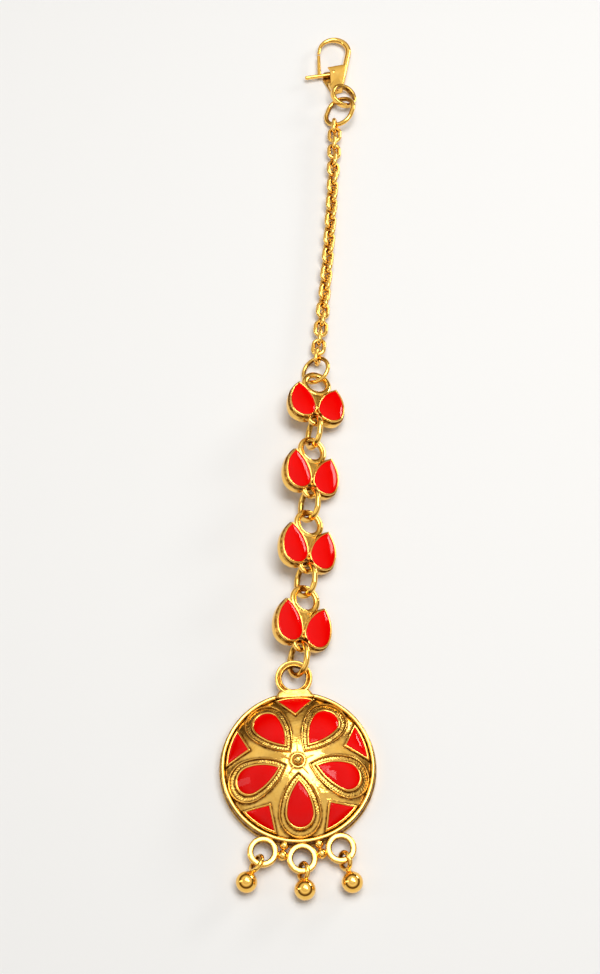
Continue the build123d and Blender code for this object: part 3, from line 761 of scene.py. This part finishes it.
# cast link: loop, two leaf cups, neck between them, bead in the notch and the small eye under it
def leafLinkShells():
    above, columns = leafLink["cupCentre"], leafLink["cupColumns"]
    return [
        bandRing(leafLink["loop"]),
        leafShell(-1, cupRows, above, columns, True),
        leafShell(1, cupRows, above, columns, True),
        stackedShell(neckOutline, neckRows, (0, leafLink["neckCentre"]), flat, 60),
        moved(roundBall(leafLink["bead"], 24), place=(0, leafLink["beadY"], leafLink["beadZ"])),
        moved(bandRing(leafLink["eye"]), place=(0, leafLink["eyeY"], 0)),
    ]


linkShells = leafLinkShells()
for number, row in enumerate(leafLink["rows"], 1):
    makePiece(f"leaf_link_{number}", laidAt(linkShells, row), castGold)
    for side, name in ((-1, "left"), (1, "right")):
        fill = leafShell(side, leafFillRows, leafLink["fillCentre"], leafLink["fillColumns"], False)
        makePiece(f"leaf_enamel_{number}_{name}", laidAt([fill], row), redEnamel)
print("stage: leaf links")


rings = {
    "steps": 72, "around": 16,
    "connector": {"wire": 1.2, "length": 7.6, "width": 6.9, "eyeY": -9.22, "lastEnd": (-0.5, 17.45, 2.4)},
    "top": {"mean": 2.92, "wire": 0.9,
            "spot": {"x": 3.75, "y": 86.5, "z": 1.9, "turn": 0, "roll": -29.0, "pitch": 5.0}},
    "clasp": {"wire": 1.05, "length": 8.5, "width": 7.3, "turn": 18.0, "roll": -24.0,
              "nearHeight": 1.67, "farHeight": 2.0},
}


# a ring laid along the line from near to far, rolled about that line
def ringBetween(far, near, roll, ring):
    far, near = np.array(far, float), np.array(near, float)
    along = (far - near) / np.linalg.norm(far - near)
    lift = np.array([0, 0, 1.0]) - along * along[2]
    lift /= np.linalg.norm(lift)
    side = np.cross(along, lift)
    angle = radians(-roll)
    xDir = side * cos(angle) + lift * sin(angle)
    zDir = lift * cos(angle) - side * sin(angle)
    shell = ovalRing(ring["length"], ring["width"], ring["wire"], rings["steps"], rings["around"])
    return moved(shell, np.stack([xDir, np.cross(zDir, xDir), zDir], -1), (far + near) / 2)


# where a point of a leaf link comes to lie
def onLink(row, point):
    return layMatrix(row) @ np.array(point, float) + np.array([row["x"], row["y"], row["z"]])


connector = rings["connector"]
for number, row in enumerate(leafLink["rows"], 1):
    far = onLink(row, (0, connector["eyeY"], 0))
    last = number == len(leafLink["rows"])
    target = np.array(connector["lastEnd"]) if last else onLink(leafLink["rows"][number], (0, 0, 0))
    near = far + (target - far) / np.linalg.norm(target - far) * (connector["length"] - connector["wire"])
    ring = ringBetween(far, near, row["ringRoll"], connector)
    makePiece(f"connector_ring_{number}", [ring], wireGold)
topRing = rings["top"]
ring = roundRing(topRing["mean"], topRing["wire"], rings["steps"], rings["around"])
makePiece("top_ring", laidAt([ring], topRing["spot"]), wireGold)
print("stage: rings")


chain = {
    "count": 27, "wire": 0.9, "length": 4.29, "width": 3.2, "clearance": 0.16, "ringClearance": 0.2,
    "lift": 0.06, "startBearing": 6.2, "endBearing": 1.6, "endRoll": -104.0, "middleRoll": -48.0, "easing": 7,
    "steps": 40, "around": 12,
}
chainPitch = chain["length"] - 2 * chain["wire"] - chain["clearance"]
chainEndReach = chainPitch / 2 + chain["clearance"] / 2 - chain["ringClearance"]


# links stand turn about across each other, on a line whose bearing eases from end to end; each rests on the
# surface by the deeper of its two half widths at its roll
def chainSpots():
    spots = []
    y = topRing["spot"]["y"] + topRing["mean"] + chainEndReach - topRing["wire"] / 2
    x = topRing["spot"]["x"] + (y - topRing["spot"]["y"]) * tan(radians(chain["startBearing"]))
    for index in range(chain["count"]):
        share = index / (chain["count"] - 1)
        bearing = chain["startBearing"] + share * (chain["endBearing"] - chain["startBearing"])
        weight = min(1, min(index, chain["count"] - 1 - index) / chain["easing"])
        roll = chain["endRoll"] + weight * (chain["middleRoll"] - chain["endRoll"])
        steepness = max(np.abs(onBearing(1, roll)))
        height = chain["lift"] + chain["wire"] / 2 + steepness * (chain["width"] - chain["wire"]) / 2
        spots.append({"x": x, "y": y, "z": height, "turn": bearing, "pitch": 0,
                      "roll": roll + 90 * (index % 2)})
        x, y = stepFrom(x, y, chainPitch, bearing)
    return spots


chainLink = ovalRing(chain["length"], chain["width"], chain["wire"], chain["steps"], chain["around"])
spots = chainSpots()
chainShells = [shell for spot in spots for shell in laidAt([chainLink], spot)]
makePiece("chain", chainShells, wireGold)
claspRing = rings["clasp"]
lastSpot = spots[-1]
near = stepFrom(lastSpot["x"], lastSpot["y"], chainEndReach - claspRing["wire"] / 2, lastSpot["turn"])
far = stepFrom(*near, claspRing["length"] - claspRing["wire"], claspRing["turn"])
ring = ringBetween(far + (claspRing["farHeight"],), near + (claspRing["nearHeight"],), claspRing["roll"],
                   claspRing)
makePiece("clasp_ring", [ring], wireGold)
print("stage: chain")


# places in the clasp are measured from its neck
clasp = {
    "neck": (9.05, 160.95), "middle": 1.25, "wire": 0.65, "tipWire": 0.36, "tipLength": 1.3,
    "taperFrom": 0.66, "taperRun": 0.3, "rodAround": 16,
    "bowCentre": (-0.75, 11.45), "bowRadius": 3.4, "bowTip": 172.0, "bowArm": -14.0, "armFoot": (0.9, 1.6),
    "cheek": 0.5, "depth": 2.3, "plateColumns": 160,
    # the three plates of the body share their back edge; each has its own front
    "back": [(-1.3, -0.3), (-0.5, -0.25), (0.3, 0.15), (1.25, 0.3), (2.1, 7.05)],
    # the pouch's top, deep inside the slot, is painted with shade
    "pouch": {"front": [(-3.2, 5.9), (-3.35, 3.7)], "centre": (-0.6, 3.6), "edge": 0.14, "hollow": 0.95},
    "upperCheek": {"front": [(-2.35, 6.08), (-1.75, 5.2), (-1.6, 0.9), (-1.85, 0.8)], "centre": (0.1, 3.4),
                   "edge": 0.2, "crown": 0.25},
    "web": {"front": [(1.2, 6.85), (-0.07, 1.3), (-2.2, 1.75)], "centre": (0.35, 1.0), "edge": 0.05},
    "tail": {"spot": {"x": 1.35, "y": -2.0, "z": 1.9, "turn": 0, "roll": 24.0, "pitch": 2.0}, "mean": 2.7,
             "band": 0.8, "thick": 1.4, "power": 0.6, "steps": 96, "around": 28},
    "neckBall": 0.72, "neckBallAt": (-0.3, 0.45),
    "pivot": (-0.9, 4.7), "pin": 0.42, "bore": 0.47, "hub": 0.95,
    "lever": 0.95, "gateFoot": (-4.15, 4.25), "gateWidth": 0.84, "gateGap": 0.12,
    "tabTip": (-7.5, 3.65), "tabWidth": 0.75,
}


# plate with softened corners: the corner list is walked at an even pace and averaged over five points, then
# drawn in by the edge radius at top and bottom; its top rises to the crown as 1 - share squared
def plateShell(plate, low, high):
    corners = plate["front"] + clasp["back"]
    centre, edge, columns = np.array(plate["centre"]), plate["edge"], clasp["plateColumns"]
    corner = np.array(corners + corners[:1], float)
    walked = walkedAlong(corner)
    pace = np.arange(columns) / columns * walked[-1]
    line = np.stack([np.interp(pace, walked, corner[:, k]) for k in (0, 1)], -1)
    line = sum(np.roll(line, k, 0) for k in (-2, -1, 0, 1, 2)) / 5
    ahead = np.roll(line, -1, 0) - np.roll(line, 1, 0)
    normal = np.stack([ahead[:, 1], -ahead[:, 0]], -1) / np.hypot(ahead[:, 0], ahead[:, 1])[:, None]
    if np.sum(normal * (line - line.mean(0))) < 0:
        normal = -normal
    turn = np.linspace(0, pi / 2, 5)
    inset = np.hstack([edge * (1 - np.sin(turn)), edge * (1 - np.cos(turn))])
    height = np.hstack([low + edge * (1 - np.cos(turn)), high - edge * (1 - np.sin(turn))])
    rows = [np.hstack([line - normal * d, np.full((columns, 1), h)]) for d, h in zip(inset, height)]
    top, crown = rows[-1][:, :2], plate.get("crown", 0.0)
    for share in (0.85, 0.65, 0.4, 0.2):
        ring = centre + share * (top - centre)
        rows.append(np.hstack([ring, np.full((columns, 1), high + crown * (1 - share ** 2))]))
    # painted shade over a plate's top and the upper rounding of its edge
    shade = plate.get("hollow", 0.0) * (np.arange(len(rows)) >= len(inset) - 2)[:, None]
    return gridShell(np.stack(rows), (*centre, low), (*centre, high + crown), shade)


# rod in the plane of the clasp along a line, with a half width and half height for each of its points
def rodShell(line, halfWidth, halfHeight, power=1.0):
    line = np.array(line, float)
    ahead = np.gradient(line, axis=0)
    ahead /= np.hypot(ahead[:, 0], ahead[:, 1])[:, None]
    path = np.hstack([line, np.full((len(line), 1), clasp["middle"])])
    across = np.stack([ahead[:, 1], -ahead[:, 0], 0 * ahead[:, 0]], -1)
    size = 2 * np.stack([np.broadcast_to(halfWidth, len(line)), np.broadcast_to(halfHeight, len(line))], -1)
    section = softSection(1, 1, power, clasp["rodAround"])[None] * size[:, None]
    return carried(path, across, section, False)


# share of the full width along a rod whose ends are quarter rounds over the given end shares
def roundedEnds(u, first, last):
    start = np.clip(1 - u / first, 0, 1) if first else 0 * u
    end = np.clip(1 - (1 - u) / last, 0, 1) if last else 0 * u
    return np.sqrt(np.clip(1 - start ** 2, 0.004, 1)) * np.sqrt(np.clip(1 - end ** 2, 0.004, 1))


# the claw's end: straight on from the end of the bow's arc by the tip's length
def clawTip():
    x, y = onBearing(clasp["bowRadius"], clasp["bowTip"])
    dx, dy = onBearing(clasp["tipLength"], clasp["bowTip"] + 90)
    return clasp["bowCentre"][0] + x + dx, clasp["bowCentre"][1] + y + dy


# claw, two cheeks joined by a web, pivot pin, tail ring and neck ball; the claw is straight arm, arc and
# straight tip, and thins to the tip from taperFrom on
def claspBodyShells():
    cx, cy = clasp["bowCentre"]
    bow = np.radians(np.linspace(clasp["bowArm"], clasp["bowTip"], 60))
    bowLine = np.stack([cx + clasp["bowRadius"] * np.cos(bow), cy + clasp["bowRadius"] * np.sin(bow)], -1)
    armLine = np.linspace(clasp["armFoot"], bowLine[0], 24, endpoint=False)
    tipLine = np.linspace(bowLine[-1], clawTip(), 14)[1:]
    line = np.vstack([armLine, bowLine, tipLine])
    walked = walkedAlong(line)
    u = walked / walked[-1]
    taper = np.clip((u - clasp["taperFrom"]) / clasp["taperRun"], 0, 1)
    wire = (clasp["wire"] + (clasp["tipWire"] - clasp["wire"]) * taper) * roundedEnds(u, 0.02, 0.006)
    half, middle = clasp["depth"] / 2, clasp["middle"]
    gap = half - clasp["cheek"]
    pin, pinTop = clasp["pin"], half + 0.1  # its riveted end stands proud
    pinRows = [(0, -half), (pin, -half), (pin, pinTop), (pin - 0.1, pinTop + 0.07), (0, pinTop + 0.1)]
    return [
        rodShell(line, wire, wire),
        plateShell(clasp["pouch"], middle - half, middle - gap),
        plateShell(clasp["upperCheek"], middle + gap, middle + half - 0.05),
        plateShell(clasp["web"], middle - gap - 0.1, middle + gap + 0.1),  # let into both cheeks
        moved(turnedShell(pinRows, 32), place=clasp["pivot"] + (middle,)),
        *laidAt([bandRing(clasp["tail"])], clasp["tail"]["spot"]),
        moved(roundBall(clasp["neckBall"], 28), place=clasp["neckBallAt"] + (middle,)),
    ]


# gate, thumb tab and hub: the gate narrows evenly from its foot to the claw's tip; the tab runs straight to
# the gate's foot and on to the hub
def claspLeverShells():
    half = clasp["lever"] / 2
    tipX, tipY = clawTip()
    foot, tab, pivot = np.array(clasp["gateFoot"]), np.array(clasp["tabTip"]), np.array(clasp["pivot"])
    gateEnd = np.array([tipX, tipY - clasp["tipWire"] - clasp["gateGap"]])
    u = np.linspace(0, 1, 30)
    gateLine = foot + (gateEnd - foot) * u[:, None]
    endRound = roundedEnds(u, 0, 0.02)
    gate = rodShell(gateLine, clasp["gateWidth"] / 2 * (1.05 - 0.12 * u) * endRound, half * endRound, 0.8)
    inner = pivot + (foot - pivot) / np.linalg.norm(foot - pivot) * (clasp["hub"] - 0.2)
    armLine = np.vstack([tab + (foot - tab) * u[:, None], foot + (inner - foot) * u[1:, None]])
    endRound = roundedEnds(np.linspace(0, 1, len(armLine)), 0.05, 0)
    arm = rodShell(armLine, clasp["tabWidth"] / 2 * endRound, half * endRound, 0.7)
    hub = bandRing({"mean": (clasp["hub"] + clasp["bore"]) / 2, "band": clasp["hub"] - clasp["bore"],
                    "thick": clasp["lever"], "power": 0.6, "steps": 48, "around": 20})
    return [gate, arm, moved(hub, place=clasp["pivot"] + (clasp["middle"],))]


toNeck = clasp["neck"] + (0,)
claspBody = [moved(shell, place=toNeck) for shell in claspBodyShells()]
makePiece("clasp_body", claspBody, wireGold)
claspLever = [moved(shell, place=toNeck) for shell in claspLeverShells()]
makePiece("clasp_lever", claspLever, wireGold, "lever")
print("stage: clasp")


studio = {
    "floor": {"colour": (0.86, 0.85, 0.83, 1), "roughness": 0.75, "half": 3, "height": -2e-5},
    "backColour": (0.93, 0.93, 0.92, 1),
    "camera": {"place": (0.0004, -0.0911, 0.3168), "tilt": 25.5, "lens": 62.83, "sensor": 36, "clip": 0.005},
    # tones by height above the horizon: what lights matt surfaces, and the surroundings that metal mirrors
    "room": [(0.0, (0.05, 0.048, 0.045, 1)), (0.55, (0.08, 0.077, 0.073, 1)),
             (0.75, (0.32, 0.315, 0.305, 1)), (1.0, (0.75, 0.745, 0.735, 1))],
    "mirrored": [(0.0, (0.6, 0.5, 0.36, 1)), (0.1, (0.36, 0.26, 0.14, 1)), (0.18, (0.11, 0.07, 0.03, 1)),
                 (0.34, (0.08, 0.05, 0.025, 1)), (0.46, (0.4, 0.31, 0.19, 1)), (0.6, (0.8, 0.74, 0.64, 1)),
                 (0.7, (1.0, 0.97, 0.92, 1)), (0.88, (0.75, 0.7, 0.62, 1)), (1.0, (0.95, 0.93, 0.89, 1))],
    "aim": (0.0, 0.06, 0.0),
    "lamps": [
        {"name": "wide", "place": (0.06, 0.17, 0.62), "size": (0.37, 0.35), "power": 2.3},
        {"name": "key", "place": (0.26, 0.0, 0.6), "size": (0.16, 0.14), "power": 0.7},
        {"name": "left", "place": (-0.55, 0.0, 0.3), "size": (0.12, 0.4), "power": 0.35},
        {"name": "low", "place": (0.56, 0.5, 0.2), "size": (0.26, 0.11), "power": 1.3},
    ],
}


# floor: an even pale matt, a hair under the jewel
def buildFloor():
    look = studio["floor"]
    half, height = look["half"], look["height"]
    corners = [(-half, -half, height), (half, -half, height), (half, half, height), (-half, half, height)]
    mesh = bpy.data.meshes.new("floor")
    mesh.from_pydata(corners, [], [(0, 1, 2, 3)])
    material, tree = freshMaterial("paleFloor")
    finishMaterial(tree, {"Base Color": look["colour"], "Roughness": look["roughness"]})
    mesh.materials.append(material)
    placed("floor", mesh)


# soft boxes, each turned so that its own -Z points from its place to the aim
def buildLamps():
    for lamp in studio["lamps"]:
        light = bpy.data.lights.new(lamp["name"], "AREA")
        light.shape = "RECTANGLE"
        light.size, light.size_y = lamp["size"]
        light.energy = lamp["power"]
        x, y, z = np.array(studio["aim"]) - np.array(lamp["place"])
        turn = (atan2(hypot(x, y), -z), 0, atan2(-x, y))
        placed(lamp["name"], light, lamp["place"], turn)


# world: an even pale tone to the camera, the mirrored tones to glossy rays, the dim room to all other light
def buildWorld():
    world = bpy.data.worlds.new("studio")
    world.use_nodes = True
    tree = world.node_tree
    tree.nodes.clear()
    direction = shaderNode(tree, "TexCoord", output="Generated")
    height = shaderNode(tree, "SeparateXYZ", None, {0: direction}, 2)
    room = shaderNode(tree, "ValToRGB", {"stops": studio["room"]}, {0: height})
    mirrored = shaderNode(tree, "ValToRGB", {"stops": studio["mirrored"]}, {0: height})
    glossy = shaderNode(tree, "LightPath", output="Is Glossy Ray")
    camera = shaderNode(tree, "LightPath", output="Is Camera Ray")
    colour = mixedColour(tree, camera, mixedColour(tree, glossy, room, mirrored), studio["backColour"])
    back = shaderNode(tree, "Background", None, {"Color": colour, "Strength": 1.0})
    shaderNode(tree, "OutputWorld", None, {"Surface": back})
    bpy.context.scene.world = world


def buildCamera():
    eye = studio["camera"]
    camera = bpy.data.cameras.new("camera")
    camera.lens, camera.sensor_width, camera.clip_start = eye["lens"], eye["sensor"], eye["clip"]
    turn = (radians(eye["tilt"]), 0, 0)
    bpy.context.scene.camera = placed("camera", camera, eye["place"], turn)


buildFloor()
buildLamps()
buildWorld()
buildCamera()
bpy.context.scene.view_settings.view_transform = "Standard"
print("stage: studio")
